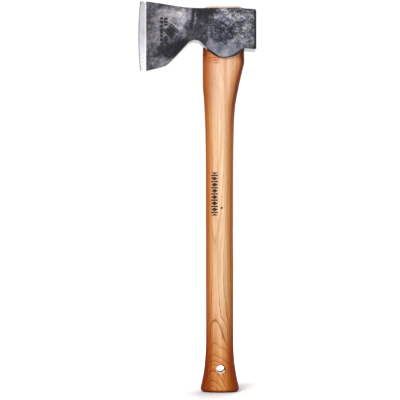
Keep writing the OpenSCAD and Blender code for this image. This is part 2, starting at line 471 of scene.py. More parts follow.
def build_head():
    """The head, one closed mesh: sides, top, underside, eye and ends."""
    bm = bmesh.new()
    # Masks for the material: the lower and the poll's borders, where shade is painted, and the upper border.
    bm.verts.layers.float.new("rim")
    bm.verts.layers.float.new("ridge")
    columns = head_columns()
    eye = [i for i, column in enumerate(columns) if column.kind == "eye"]
    sides, levels = (FRONT, BACK), (0, 1)
    faces = {side: head_face(bm, columns, side) for side in sides}
    strips = {(top, side): head_strip(bm, columns, faces[side], side, top)
              for top in levels for side in sides}
    for top in levels:
        join_strips(bm, strips[top, FRONT], strips[top, BACK], eye)
    skin = len(BEVEL_COLUMNS)
    for side in sides:
        for grid in (faces[side], strips[0, side], strips[1, side]):
            quads(bm, grid[:skin], GROUND)
            quads(bm, grid[skin - 1:], FORGED)
    eye_wall(bm, columns, strips, eye)
    end_face(bm, faces, strips, 0, GROUND)
    end_face(bm, faces, strips, -1, POLL_FACE)
    bmesh.ops.translate(bm, vec=(0, 0, EYE_TOP), verts=bm.verts)
    return add_object("axe_head", bm, "head", sharp=24)


# ---- haft ----

CORNER = EYE_TOP - 69
NECK_LOW = EYE_TOP - 148
# Rows of [height, reach in front, reach behind, half thickness].
HAFT_ROWS = [
    [0, KNOB - 0.4, KNOB + 0.4, KNOB_THICK],
    [6, KNOB - 0.5, KNOB + 0.3, KNOB_THICK],
    [15, KNOB - 2.4, KNOB - 1.7, KNOB_THICK - 0.6],
    [26, KNOB - 4.3, KNOB - 3.6, GRIP_THICK + 0.9],
    [36, GRIP + 1.7, GRIP + 2.1, GRIP_THICK + 0.5],
    [48, GRIP + 0.8, GRIP + 1, GRIP_THICK + 0.1],
    [64, GRIP + 0.1, GRIP + 0.5, GRIP_THICK],
    [150, GRIP + 0.1, GRIP + 0.4, GRIP_THICK],
    [204, GRIP, GRIP, GRIP_THICK - 0.1],
    [NECK_LOW - 50, GRIP + 0.2, GRIP + 0.2, GRIP_THICK],
    [NECK_LOW, GRIP + 1.1, GRIP + 1.2, GRIP_THICK + 0.2],
    [CORNER - 58, SHOULDER_FRONT - 2.1, GRIP + 2.6, GRIP_THICK + 0.3],
    [CORNER - 46, SHOULDER_FRONT - 1.4, SHOULDER_BACK - 10, GRIP_THICK + 0.3],
    [CORNER - 36, SHOULDER_FRONT - 0.4, SHOULDER_BACK - 8, GRIP_THICK + 0.2],
    [CORNER - 26, SHOULDER_FRONT - 0.1, SHOULDER_BACK - 6, SHOULDER_THICK + 0.2],
    [CORNER - 10, SHOULDER_FRONT, SHOULDER_BACK - 2.2, SHOULDER_THICK],
    [CORNER, SHOULDER_FRONT, SHOULDER_BACK, SHOULDER_THICK],
    [CORNER + 12, SHOULDER_FRONT - 0.1, SHOULDER_BACK - 0.1, SHOULDER_THICK],
    [EYE_TOP - 42, SHOULDER_FRONT - 0.2, SHOULDER_BACK - 0.2, SHOULDER_THICK],
]
# The shoulders end under the head: [depth, how far the front is drawn in to the tenon, and the back].
SHOULDER_ROWS = [[53.6, 0, 0], [53.0, 0, 1], [50.4, 0, 1], [49.4, 0.4, 1], [48.6, 1, 1]]
TENON_DEPTHS = [46, 43, 40, -WAIST, 30, 24, 18, 12, 6, 2, 0, -1.2]
# The tenon's rounded end: [height, how far it draws in].
TENON_END = [[TENON_PROUD - 0.7, 0.0], [TENON_PROUD - 0.2, 0.2], [TENON_PROUD, 0.7], [TENON_PROUD, 1.2]]
GAP = 0.05
SIDES = 96
RING_STEP = 2
BUTT_TURNS = 8
# The hole's patch: half its height, half its width in sides, and the side in its middle.
PATCH_TALL, PATCH_WIDE = 10, 6
PATCH_MIDDLE = {FRONT: 3 * SIDES // 4, BACK: SIDES // 4}


def haft_section(z):
    """Centre, half length and half thickness of the haft at a height."""
    front, back = smooth(HAFT_ROWS, z, 1), smooth(HAFT_ROWS, z, 2)
    return (back - front) / 2, (back + front) / 2, smooth(HAFT_ROWS, z, 3)


def haft_surface(x, z):
    """How far the haft's surface lies from its middle plane."""
    centre, long, wide = haft_section(z)
    return wide * (1 - min(abs((x - centre) / long), 1) ** OVAL) ** (1 / OVAL)


def oval_ring(bm, centre, long, wide, z):
    points = [oval_point(long, wide, 2 * pi * k / SIDES) for k in range(SIDES)]
    return [bm.verts.new((centre + x, y, z)) for x, y in points]


def haft_levels():
    """The haft's ovals, from the butt up: centre, half length, half width, height."""
    # The butt: a flat end with a rounded border.
    centre, long, wide = haft_section(0)
    for t in (0.2, 0.4, 0.6, 0.8):
        yield centre, (long - BUTT_ROUND) * t, (wide - BUTT_ROUND) * t, 0
    for k in range(BUTT_TURNS + 1):
        q = pi / 2 * k / BUTT_TURNS
        z, drawn = BUTT_ROUND * (1 - cos(q)), BUTT_ROUND * (1 - sin(q))
        centre, long, wide = haft_section(z)
        yield centre, long - drawn, wide - drawn, z
    z = BUTT_ROUND
    while z < EYE_TOP - 56:
        z += RING_STEP
        yield *haft_section(z), z
    front, back = SHOULDER_FRONT - 0.2, SHOULDER_BACK - 0.2
    for below, front_in, back_in in SHOULDER_ROWS:
        long, wide = eye_oval(-below, -GAP)
        f, b = lerp(front, long - EYE_X, front_in), lerp(back, long + EYE_X, back_in)
        yield (b - f) / 2, (b + f) / 2, min(wide, SHOULDER_THICK), EYE_TOP - below
    for below in TENON_DEPTHS:
        yield EYE_X, *eye_oval(-below, -GAP), EYE_TOP - below
    for proud, drawn in TENON_END:
        yield EYE_X, *eye_oval(proud, -GAP - drawn), EYE_TOP + proud


def haft_skin(bm, rings, first, last):
    """Faces between the haft's rings, left open where the hole's patches go."""
    for i, (a, b) in enumerate(zip(rings, rings[1:])):
        for k in range(SIDES):
            in_patch = any(-PATCH_WIDE <= k - middle < PATCH_WIDE for middle in PATCH_MIDDLE.values())
            if not (in_patch and first <= i < last):
                n = (k + 1) % SIDES
                bm.faces.new((a[k], a[n], b[n], b[k]))


def patch_border(rings, first, last, side):
    """The vertices round a side's patch. x rises with k in front and falls behind."""
    ks = [PATCH_MIDDLE[side] - side * k for k in range(-PATCH_WIDE, PATCH_WIDE + 1)]
    border = [rings[first][k] for k in ks]
    border += [rings[i][ks[-1]] for i in range(first + 1, last)]
    border += [rings[last][k] for k in reversed(ks)]
    border += [rings[i][ks[0]] for i in range(last - 1, first, -1)]
    return border


def hole_patch(bm, border, side):
    """Fills a side's patch down to the hole's rounded lip, and gives its inner loop."""
    bore = bm.verts.layers.float["bore"]
    turns = [atan2(v.co.z - HOLE.z, v.co.x - HOLE.x) for v in border]
    loops = [border]
    rim = HOLE_R + HOLE_ROUND
    for t in (0.25, 0.5, 0.75, 1.0):
        loop = []
        for v, q in zip(border, turns):
            x = lerp(v.co.x, HOLE.x + rim * cos(q), t)
            z = lerp(v.co.z, HOLE.z + rim * sin(q), t)
            loop.append(bm.verts.new((x, side * haft_surface(x, z), z)))
        loops.append(loop)
    for lip in (radians(30), radians(60), radians(90)):
        r, sunk = HOLE_R + HOLE_ROUND * (1 - sin(lip)), HOLE_ROUND * (1 - cos(lip))
        loop = []
        for q in turns:
            x, z = HOLE.x + r * cos(q), HOLE.z + r * sin(q)
            loop.append(bm.verts.new((x, side * (haft_surface(x, z) - sunk), z)))
            loop[-1][bore] = 1.0
        loops.append(loop)
    quads(bm, loops, closed=True)
    return loops[-1]


def hole_wall(bm, front, back):
    """The wall of the hole between its two lips."""
    bore = bm.verts.layers.float["bore"]
    loops = [front]
    for t in (0.25, 0.5, 0.75):
        loops.append([bm.verts.new(a.co.lerp(b.co, t)) for a, b in zip(front, back)])
        for v in loops[-1]:
            v[bore] = 1.0
    quads(bm, loops + [back], closed=True)


def build_haft():
    """The haft, one closed mesh from its butt to the tenon's end."""
    bm = bmesh.new()
    # A mask for the material: the wall of the hole.
    bm.verts.layers.float.new("bore")
    middle = bm.verts.new((haft_section(0)[0], 0, 0))
    levels = list(haft_levels())
    rings = [oval_ring(bm, *level) for level in levels]
    for k in range(SIDES):
        bm.faces.new((middle, rings[0][(k + 1) % SIDES], rings[0][k]))
    first, last = (next(i for i, level in enumerate(levels) if level[-1] >= z)
                   for z in (HOLE.z - PATCH_TALL, HOLE.z + PATCH_TALL))
    haft_skin(bm, rings, first, last)
    lips = [hole_patch(bm, patch_border(rings, first, last, side), side) for side in (FRONT, BACK)]
    hole_wall(bm, *lips)
    bm.faces.new(rings[-1])
    return add_object("axe_haft", bm, "haft", sharp=50)


# ---- kerf, wedge and ring ----

KERF_DEPTH = wedge_high.z - wedge_low.z
WEDGE_TOP = wedge_high.y
WEDGE_TIP = 0.8
WEDGE_GAP = 0.06
# Half the length of the kerf's tool, and how far the tools rise past what they cut.
KERF_REACH, KERF_OVER, SEAT_OVER = 40, 2.0, 3
RING_R = (ring_high.x - ring_low.x) / 2
RING_WALL = 1.8
RING_TAPER = 0.8
RING_SOFT = 0.35


def kerf_tool(gap=0.0):
    """A prism as the kerf, drawn in by gap on each side."""
    bm = bmesh.new()
    low = WEDGE_TIP - gap
    high = WEDGE_TOP + (WEDGE_TOP - WEDGE_TIP) * KERF_OVER / KERF_DEPTH - gap
    corners = [(-low, -KERF_DEPTH), (low, -KERF_DEPTH), (high, KERF_OVER), (-high, KERF_OVER)]
    ends = [[bm.verts.new((EYE_X + x, y, HAFT_LEN + z)) for y, z in corners]
            for x in (-KERF_REACH, KERF_REACH)]
    quads(bm, ends, closed=True)
    bm.faces.new(ends[0])
    bm.faces.new(ends[1])
    return add_object("kerf_tool", bm)


def lathe(name, profile, node=None, sharp=40.0):
    """A closed profile of (radius, height) turned about the eye's axis."""
    bm = bmesh.new()
    grid = []
    for k in range(SIDES):
        q = 2 * pi * k / SIDES
        grid.append([bm.verts.new((EYE_X + r * cos(q), r * sin(q), z)) for r, z in profile])
    grid.append(grid[0])
    quads(bm, grid, closed=True)
    return add_object(name, bm, node, sharp)


def seat_tool():
    """What the ring takes out of the tenon and of the wedge."""
    inner, over = RING_R - RING_WALL, ring_high.z + SEAT_OVER
    profile = [(inner, ring_low.z), (RING_R - RING_TAPER, ring_low.z), (RING_R, ring_high.z),
               (RING_R, over), (inner, over)]
    return lathe("seat_tool", profile)


def build_eye_wedge():
    """The wooden wedge: what fills the kerf within the eye, a hair below the tenon's end."""
    bm = bmesh.new()
    rings = []
    for below, drawn in ((KERF_DEPTH - TENON_PROUD, GAP), (30, GAP), (15, GAP), (0, GAP),
                         (0.6 - TENON_PROUD, GAP), (0.25 - TENON_PROUD, 0.5)):
        rings.append(oval_ring(bm, EYE_X, *eye_oval(-below, -GAP - drawn), EYE_TOP - below))
    quads(bm, rings, closed=True)
    bm.faces.new(rings[0])
    bm.faces.new(rings[-1])
    wedge = add_object("axe_eye_wedge", bm, "eye_wedge")
    cut(wedge, kerf_tool(WEDGE_GAP), "INTERSECT")
    cut(wedge, seat_tool())
    for face in wedge.data.polygons:
        face.use_smooth = False
    return wedge


def build_ring_wedge():
    """The steel ring, with its top edges worn round by the hammer."""
    low, high = ring_low.z, ring_high.z
    outer, inner, soft = RING_R, RING_R - RING_WALL, RING_SOFT
    profile = [(inner, low), (outer - RING_TAPER, low), (outer - 0.02, high - soft),
               (outer - 0.12, high - 0.1), (outer - soft, high), (inner + soft, high),
               (inner + 0.12, high - 0.1), (inner, high - soft)]
    return lathe("axe_ring_wedge", profile, "ring_wedge", sharp=50)


# ---- materials ----

class Graph:
    """A material's node tree, with short names for the nodes that are used here."""

    def __init__(self, name):
        self.material = bpy.data.materials.new(name)
        self.material.use_nodes = True
        self.tree = self.material.node_tree
        self.shader = self.tree.nodes["Principled BSDF"]
        place = self.node("TexCoord", {}).outputs["Object"]
        self.place = self.node("VectorMath", {0: place, "Scale": 1 / MM}, operation="SCALE").outputs[0]
        self.x, self.y, self.z = self.node("SeparateXYZ", {0: self.place}).outputs
        self.warped_x, self.warped_z = self.x, self.z

    def put(self, socket, value):
        if isinstance(value, bpy.types.NodeSocket):
            self.tree.links.new(value, socket)
        else:
            socket.default_value = value

    def node(self, kind, inputs, **settings):
        """A new node. Inputs go by number or name, and are values or sockets."""
        node = self.tree.nodes.new("ShaderNode" + kind)
        for name, value in settings.items():
            setattr(node, name, value)
        for name, value in inputs.items():
            self.put(node.inputs[name], value)
        return node

    def math(self, operation, a, b=0, c=0, clamp=False):
        return self.node("Math", {0: a, 1: b, 2: c}, operation=operation, use_clamp=clamp).outputs[0]

    def add(self, *terms):
        total = terms[0]
        for term in terms[1:]:
            total = self.math("ADD", total, term)
        return total

    def less(self, a, b):
        return self.math("SUBTRACT", a, b)

    def times(self, *factors):
        total = factors[0]
        for factor in factors[1:]:
            total = self.math("MULTIPLY", total, factor)
        return total

    def absolute(self, value):
        return self.math("ABSOLUTE", value)

    def below(self, value, limit):
        """1 below a limit and 0 above it."""
        return self.math("LESS_THAN", value, limit)

    def length(self, a, b):
        return self.math("SQRT", self.add(self.times(a, a), self.times(b, b)))

    def weigh(self, *terms):
        """The sum of (value, weight) terms."""
        return self.add(*(self.times(value, weight) for value, weight in terms))

    def swing(self, value, reach):
        """A noise from 0 to 1 as a push of up to half of reach either way."""
        return self.times(self.less(value, 0.5), reach)

    def off(self, value, middle):
        """How far a value is from a middle."""
        return self.absolute(self.less(value, middle))

    def fade(self, value, low, high, to_low=0, to_high=1):
        """A smooth change between two results while a value goes from low to high."""
        inputs = dict(enumerate((value, low, high, to_low, to_high)))
        return self.node("MapRange", inputs, interpolation_type="SMOOTHSTEP").outputs[0]

    def near(self, value, middle, far, close):
        """1 within close of a middle, fading to 0 where it is far."""
        return self.fade(self.off(value, middle), far, close)

    def join(self, x, y, z):
        return self.node("CombineXYZ", {0: x, 1: y, 2: z}).outputs[0]

    def stretch(self, size):
        """The place divided by one size in millimetres, or by three. A socket stays as it is."""
        if isinstance(size, bpy.types.NodeSocket):
            return size
        sizes = size if isinstance(size, tuple) else (size, size, size)
        return self.node("VectorMath", {0: self.place, 1: sizes}, operation="DIVIDE").outputs[0]

    def noise(self, size, detail=3, roughness=0.55, distortion=0):
        inputs = {"Vector": self.stretch(size), "Scale": 1, "Detail": detail, "Roughness": roughness,
                  "Distortion": distortion}
        return self.node("TexNoise", inputs).outputs["Fac"]

    def cells(self, size):
        return self.node("TexVoronoi", {"Vector": self.stretch(size), "Scale": 1}).outputs["Distance"]

    def ramp(self, value, stops):
        node = self.node("ValToRGB", {0: value})
        elements = node.color_ramp.elements
        while len(elements) < len(stops):
            elements.new(0.5)
        for element, (place, colour) in zip(elements, stops):
            element.position = place
            element.color = (*colour, 1)
        return node.outputs[0]

    def mix(self, factor, a, b, blend="MIX"):
        a, b = ((*colour, 1) if isinstance(colour, tuple) else colour for colour in (a, b))
        return self.node("Mix", {0: factor, 6: a, 7: b}, data_type="RGBA", blend_type=blend).outputs[2]

    def paint(self, factor, colour, blend="MIX"):
        """Lays a colour over the material's colour so far."""
        self.colour = self.mix(factor, self.colour, colour, blend)

    def tint(self, factor, colour):
        self.paint(factor, colour, "MULTIPLY")

    def mask(self, name):
        return self.node("Attribute", {}, attribute_name=name).outputs["Fac"]

    def facing(self):
        """The x, y and z parts of the surface's direction."""
        return self.node("SeparateXYZ", {0: self.node("NewGeometry", {}).outputs["Normal"]}).outputs

    def curve(self, value, points, low, high, top):
        """A curve through (place, value) points, from 0 to top."""
        part = self.math("DIVIDE", self.less(value, low), high - low, clamp=True)
        node = self.node("FloatCurve", {"Value": part})
        line = node.mapping.curves[0]
        while len(line.points) < len(points):
            line.points.new(0.5, 0.5)
        for point, (place, v) in zip(line.points, points):
            point.location = ((place - low) / (high - low), v / top)
        node.mapping.update()
        return self.times(node.outputs[0], top)

    def warp(self, size, reach):
        """Makes the borders of the blobs ragged."""
        def pushed(value, shift):
            place = self.node("VectorMath", {0: self.stretch(size), 1: (shift, shift, shift)}).outputs[0]
            return self.add(value, self.swing(self.noise(place, 4, 0.62), reach))

        self.warped_x, self.warped_z = pushed(self.x, 0), pushed(self.z, 40)

    def blob(self, x, z, wide, tall):
        """1 at a place on the side of the axe, fading to 0 at an oval round it."""
        across = self.math("DIVIDE", self.less(self.warped_x, x), wide)
        up = self.math("DIVIDE", self.less(self.warped_z, z), tall)
        return self.fade(self.add(self.times(across, across), self.times(up, up)), 1, 0)

    def spots(self, start, areas):
        """A start value, changed in areas of the head."""
        for x, z, wide, tall, weight in areas:
            start = self.add(start, self.times(self.blob(x, EYE_TOP + z, wide, tall), weight))
        return start

    def bump(self, height, distance):
        node = self.node("Bump", {"Strength": 1, "Distance": distance * MM, "Height": height})
        self.put(self.shader.inputs["Normal"], node.outputs[0])

    def finish(self, **values):
        for name, value in {"Base_Color": self.colour, **values}.items():
            self.put(self.shader.inputs[name.replace("_", " ")], value)
        return self.material


def rgb(red, green, blue):
    """A screen colour, 0 to 255, as linear light."""
    return tuple((c / 255 / 12.92) if c <= 10 else ((c / 255 + 0.055) / 1.055) ** 2.4
                 for c in (red, green, blue))


# ---- steel ----

# Areas of the head: [x, height, half width, half height, weight].
# These are lighter or darker.
TONE_AREAS = [
    [-64, -14, 26, 18, 0.23], [-48, -14, 14, 16, 0.18], [-90, -10, 8, 34, -0.03],
    [-84, -34, 12, 26, 0.15], [-60, -54, 28, 13, -0.4], [-46, -44, 16, 14, -0.32],
    [-76, -68, 12, 9, 0.1], [-90, -74, 12, 8, -0.08], [-28, -30, 16, 34, -0.2],
    [-20, -8, 16, 13, -0.44], [6, -12, 16, 8, 0.28], [2, 0, 24, 5, -0.26], [3, -23, 19, 12, -0.13],
    [30, -24, 16, 26, 0.23], [30, -5, 12, 5, -0.22], [6, -58, 18, 10, 0.26], [-10, -46, 9, 16, 0.12],
    [24, -48, 21, 12, 0.2], [23, -30, 11, 14, -0.26], [-47, -31, 11, 11, 0.17], [-76, -36, 7, 12, 0.12],
    [-66, -4, 22, 8, 0.08],
]
# The flakes stand out most round the eye, and least on the neck and the lugs.
FLAKE_AREAS = [[12, -22, 46, 40, 0.95], [-30, -28, 18, 30, -0.35], [2, -54, 28, 22, -0.55]]
BLUE_AREAS = [[3, -25, 26, 20, 0.4], [5, -52, 26, 18, 0.3], [-58, -48, 28, 18, 0.4]]
GREEN_AREAS = [[32, -38, 20, 22, 0.45], [9, -52, 13, 12, 0.5]]
NICK_AREAS = [[-56, -22, 34, 20, 0.75], [-18, -11, 20, 10, 0.9]]
# Near black: painted shade along the head's lower and poll borders, and the printed mark.
SHADE_AND_PRINT_BLACK = rgb(14, 13, 16)


def scale_tints(g):
    """Warm grey on the blade, blue grey over the eye and in the beard, green grey by the poll."""
    warm = g.times(g.fade(g.noise(20, 2), 0.4, 0.62), g.fade(g.x, -40, -75))
    g.tint(g.times(warm, 0.5), rgb(206, 190, 178))
    blue = g.times(g.fade(g.noise(13, 3), 0.45, 0.62), 0.35)
    g.tint(g.spots(blue, BLUE_AREAS), rgb(172, 182, 216))
    g.tint(g.spots(0, GREEN_AREAS), rgb(214, 230, 226))


def worn_scale(g, tone, flakes, strong):
    """Dark nicks on the blade and beside the crease, and pale spots where scale flaked off."""
    nicks = g.fade(g.noise((5.5, 5.5, 4), 5, 0.72, 0.3), 0.45, 0.36)
    g.paint(g.times(nicks, g.spots(0, NICK_AREAS)), rgb(50, 46, 50))
    bare = g.fade(g.noise((2.2, 2.2, 2.9), 5, 0.7), 0.57, 0.64)
    bare = g.times(bare, g.fade(flakes, 0.44, 0.58), g.fade(tone, 0.28, 0.55))
    g.paint(g.times(bare, strong, 0.5), rgb(208, 207, 212))


def crease_lines(g, broad, flakes):
    """The crease with a pale sliver beside it, and upright streaks beside the bevel."""
    crease = g.add(g.x, -CREASE_X, g.times(g.less(g.z, EYE_TOP + CREASE_Z), -CREASE_LEAN))
    crease = g.add(crease, g.swing(flakes, 6), g.swing(g.noise(7, 3, 0.6), 7))
    line = g.times(g.near(crease, 0, 2.8, 0.9), g.fade(g.z, EYE_TOP - 34, EYE_TOP - 22))
    line = g.times(line, g.fade(g.noise(5, 3, 0.6), 0.36, 0.56, 0.6, 0.95))
    g.paint(line, rgb(32, 30, 35))
    sliver = g.times(g.near(crease, 3.4, 1.6, 0.2), g.blob(-32, EYE_TOP - 14, 9, 16))
    g.paint(g.times(sliver, g.fade(broad, 0.4, 0.6, 0.1, 0.4)), rgb(170, 166, 174))
    streaks = g.fade(g.noise((2, 4, 14), 4, 0.6), 0.46, 0.6, 0, 0.8)
    beside = g.fade(g.x, BEVEL_X + 14, BEVEL_X + 2)
    g.paint(g.times(beside, streaks), rgb(58, 54, 56))


def head_borders(g, flakes):
    """Painted shade on the lower and the poll's borders, a painted reflection on the faces that look down,
    painted shadow under the lugs, and a dark upper border.
    """
    _, y, z = g.facing()
    # Painted shade: the lower borders, strongest on the lugs, and the poll's border are darkened.
    rim = g.times(g.fade(g.mask("rim"), 0.6, 0.95), g.fade(g.x, -22, -17, 0.1, 0.98))
    g.paint(g.times(rim, g.fade(flakes, 0.35, 0.65, 0.8, 1)), SHADE_AND_PRINT_BLACK)
    # Painted reflection of the pale floor: the faces that look down are made pale.
    under = g.times(g.fade(g.absolute(y), 0.93, 0.7), g.fade(z, -0.15, -0.4))
    g.paint(under, rgb(226, 226, 228))
    # Painted shadow: under the lugs those faces are made dark instead.
    lugs = g.times(g.fade(g.x, -19, -15), g.fade(g.x, 33, 31))
    g.paint(g.times(under, lugs), rgb(22, 20, 23))
    ridge = g.times(g.fade(g.mask("ridge"), 0.3, 1), 0.3)
    g.paint(ridge, rgb(58, 56, 62))


def head_mark(g):
    """A plain printed ornament: a lozenge with a line in it, and two rows of dashes."""
    x0, z0, size = -62.5, EYE_TOP - 28.5, 10
    across, up = g.off(g.x, x0), g.off(g.z, z0)
    dashes = 0
    # Rows of (place, half width, pitch, start): one runs past the lozenge, the other stops short of it.
    for place, half_wide, pitch, start in ((x0 - 12.9, 1.8, 5.2, -1), (x0 - 7.2, 2.3, 3.8, 6.7)):
        bar = g.times(g.below(g.off(g.x, place), half_wide), g.math("GREATER_THAN", up, start))
        beat = g.math("FRACT", g.math("DIVIDE", g.add(up, 0.8), pitch))
        dashes = g.math("MAXIMUM", dashes, g.times(bar, g.below(beat, 0.72)))
    dashes = g.times(dashes, g.below(up, 18))
    reach = g.add(across, up)
    line = g.math("COMPARE", reach, size - 2.6, 0.35)
    lozenge = g.times(g.below(reach, size), g.less(1, g.times(line, 0.6)))
    return g.times(g.math("MAXIMUM", dashes, lozenge), g.below(g.y, 0), 0.97)


def forged_steel():
    """The head's skin: fire scale, worn off in places, with pits."""
    g = Graph("forged_steel")
    g.warp(12, 34)
    broad = g.noise((13, 20, 11), 4, 0.6, 0.4)
    flakes = g.noise((4.6, 4.6, 3.8), 5, 0.68, 0.2)
    specks = g.noise(1.3, 3, 0.6)
    strong = g.spots(0.62, FLAKE_AREAS)
    tone = g.spots(g.add(0.42, g.swing(broad, 0.85)), TONE_AREAS)
    tone = g.add(tone, g.swing(flakes, g.times(strong, 1.15)), g.swing(specks, g.times(strong, 0.75)))
    g.colour = g.ramp(tone, [
        (0, rgb(28, 26, 31)), (0.28, rgb(60, 59, 67)), (0.5, rgb(108, 106, 114)),
        (0.74, rgb(165, 161, 167)), (0.98, rgb(219, 216, 219))])
    scale_tints(g)
    pits = g.times(g.fade(g.cells(2.3), 0.38, 0.14), g.fade(g.noise(9, 3, 0.6), 0.47, 0.58))
    g.paint(g.times(pits, 0.7), rgb(34, 33, 38))
    worn_scale(g, tone, flakes, strong)
    crease_lines(g, broad, flakes)
    head_borders(g, flakes)
    mark = head_mark(g)
    g.paint(mark, SHADE_AND_PRINT_BLACK)
    g.bump(g.weigh((flakes, 0.6), (specks, 0.3), (pits, -0.5)), 0.2)
    roughness = g.fade(g.weigh((flakes, 0.5), (broad, 0.5)), 0.3, 0.7, 0.66, 0.46)
    metal = g.add(0.3, g.times(mark, -0.3))
    return g.finish(Roughness=roughness, Metallic=metal, Specular_IOR_Level=0.3)


def ground_steel():
    """The bevel: fine grinding lines, and a painted highlight beside the forged skin."""
    g = Graph("ground_steel")
    lines = g.noise((9, 9, 0.16), 3, 0.6)
    haze = g.noise(12, 3)
    g.colour = g.ramp(g.weigh((lines, 0.5), (haze, 0.5)), [
        (0.25, rgb(176, 177, 181)), (0.55, rgb(200, 200, 204)), (0.8, rgb(222, 222, 226))])
    # Painted highlight: a brighter line along the bevel's border with the forged skin.
    border = g.fade(g.x, BEVEL_X - 2.4, BEVEL_X - 1.2)
    g.paint(g.times(border, 0.6), rgb(246, 246, 248))
    # It is paler towards the heel.
    g.paint(g.fade(g.z, EYE_TOP - 34, EYE_TOP - 62, 0, 0.5), rgb(246, 246, 250))
    # The honed strip along the cutting edge gets a painted darker reflection.
    height = g.less(g.z, EYE_TOP + EDGE_MIDDLE)
    from_edge = g.add(g.x, BIT_REACH, g.times(height, height, -0.5 / EDGE_RADIUS))
    g.paint(g.times(g.fade(from_edge, 1.9, 1.5), 0.8), rgb(158, 160, 166))
    g.bump(lines, 0.02)
    return g.finish(Metallic=0.85, Roughness=g.fade(haze, 0.3, 0.7, 0.26, 0.31))


def poll_steel():
    """The poll's face: ground once, since then dulled and dented by use."""
    g = Graph("poll_steel")
    haze = g.noise(9, 4, 0.6)
    lines = g.noise((9, 9, 0.4), 3, 0.6)
    g.colour = g.ramp(g.weigh((lines, 0.35), (haze, 0.65)), [
        (0.3, rgb(92, 91, 96)), (0.5, rgb(140, 139, 144)), (0.72, rgb(178, 177, 181))])
    # A few dents, in clusters.
    dents = g.fade(g.add(g.cells((7, 7, 5)), g.times(haze, 0.3)), 0.4, 0.18)
    dents = g.times(dents, g.fade(g.noise(15, 2), 0.46, 0.58))
    g.paint(g.times(dents, 0.5), rgb(64, 62, 66))
    g.bump(g.weigh((dents, -1), (lines, 0.2)), 0.15)
    return g.finish(Metallic=0.7, Roughness=g.fade(haze, 0.3, 0.7, 0.42, 0.55))


def ring_steel():
    """The ring: grey, grimy steel."""
    g = Graph("ring_steel")
    grime = g.noise(2.2, 4, 0.65)
    g.colour = g.ramp(grime, [(0.3, rgb(84, 82, 86)), (0.55, rgb(138, 136, 140)), (0.75, rgb(176, 174, 178))])
    g.bump(grime, 0.08)
    return g.finish(Metallic=0.8, Roughness=g.fade(grime, 0.3, 0.7, 0.5, 0.35))


# ---- wood ----

PITH_X, PITH_Y = 7, 62
RING_PITCH = 0.85
# How far the rings bow out along the haft: rows of (height, millimetres).
BOW = [(0, 5.4), (50, 2.7), (62, 1.75), (69, 1.37), (85, 1.08), (94, 0.62), (105, 0.28), (130, 0.22),
       (165, 0.25), (205, 0.7), (270, 1.6), (330, 2), (375, 1.7), (430, 1.5), (500, 1.5)]
HOLE_SHADE = rgb(58, 34, 20)


def growth_rings(g, bend=0):
    """Hickory's rings: their lines of pores, their dense ends, and how poor their years were.

    The pith is far behind the haft, so the rings show as arches in front.
    """
    px = g.add(g.x, -PITH_X, g.swing(g.noise((26, 26, 170), 2), 10))
    bow = g.curve(g.z, BOW, 0, 500, 6)
    ripple = g.swing(g.noise((7, 7, 24), 2, 0.5), g.fade(g.z, 60, 85, 0.55, 0.3))
    radius = g.add(g.length(px, g.less(g.y, PITH_Y)), bow, ripple, 0.35)
    across = g.add(g.x, 6)
    radius = g.add(radius, g.times(across, across, bend))
    # Good and poor years: the rings differ in width and in how dark their line is.
    years = g.noise(g.join(g.times(radius, 0.55), 3.7, 1.3), 1, 0.5)
    count = g.math("DIVIDE", g.add(radius, g.swing(years, 2.2)), RING_PITCH)
    poor = g.noise(g.join(g.math("FLOOR", count), 0.37, 8.1), 0)
    # Each ring starts with a thin line of dark pores and ends dense and a little darker.
    phase = g.math("FRACT", count)
    porous = g.times(g.fade(phase, 0, 0.06), g.fade(phase, 0.26, 0.1))
    dense = g.times(g.fade(phase, 0.45, 0.98), g.fade(phase, 1, 0.985))
    return porous, dense, poor


def bare_wood(g):
    """The wood's pores and long streaks. It sets the colour without the rings."""
    pores = g.noise((0.5, 0.5, 7), 2, 0.6)
    streaks = g.noise((1.7, 1.7, 110), 4, 0.62)
    bands = g.noise((7, 7, 260), 3, 0.5)
    g.colour = g.ramp(g.weigh((bands, 0.5), (streaks, 0.5)), [
        (0.3, rgb(219, 166, 121)), (0.45, rgb(236, 193, 153)), (0.56, rgb(244, 211, 177)),
        (0.72, rgb(248, 226, 199))])
    return pores, streaks


def ring_lines(g, dense, pore_line, pores):
    """Draws the rings and the pores over the wood's colour."""
    g.tint(dense, (0.6, 0.4, 0.24))
    g.tint(pore_line, (0.4, 0.2, 0.08))
    g.tint(g.times(g.fade(pores, 0.58, 0.7), 0.3), (0.45, 0.26, 0.14))


def finish_wood(g, porous, pores, streaks):
    g.bump(g.weigh((pores, -0.5), (porous, -0.5), (streaks, 0.5)), 0.05)
    roughness = g.fade(g.weigh((streaks, 0.5), (pores, 0.5)), 0.3, 0.7, 0.38, 0.52)
    return g.finish(Roughness=roughness, Specular_IOR_Level=0.1)


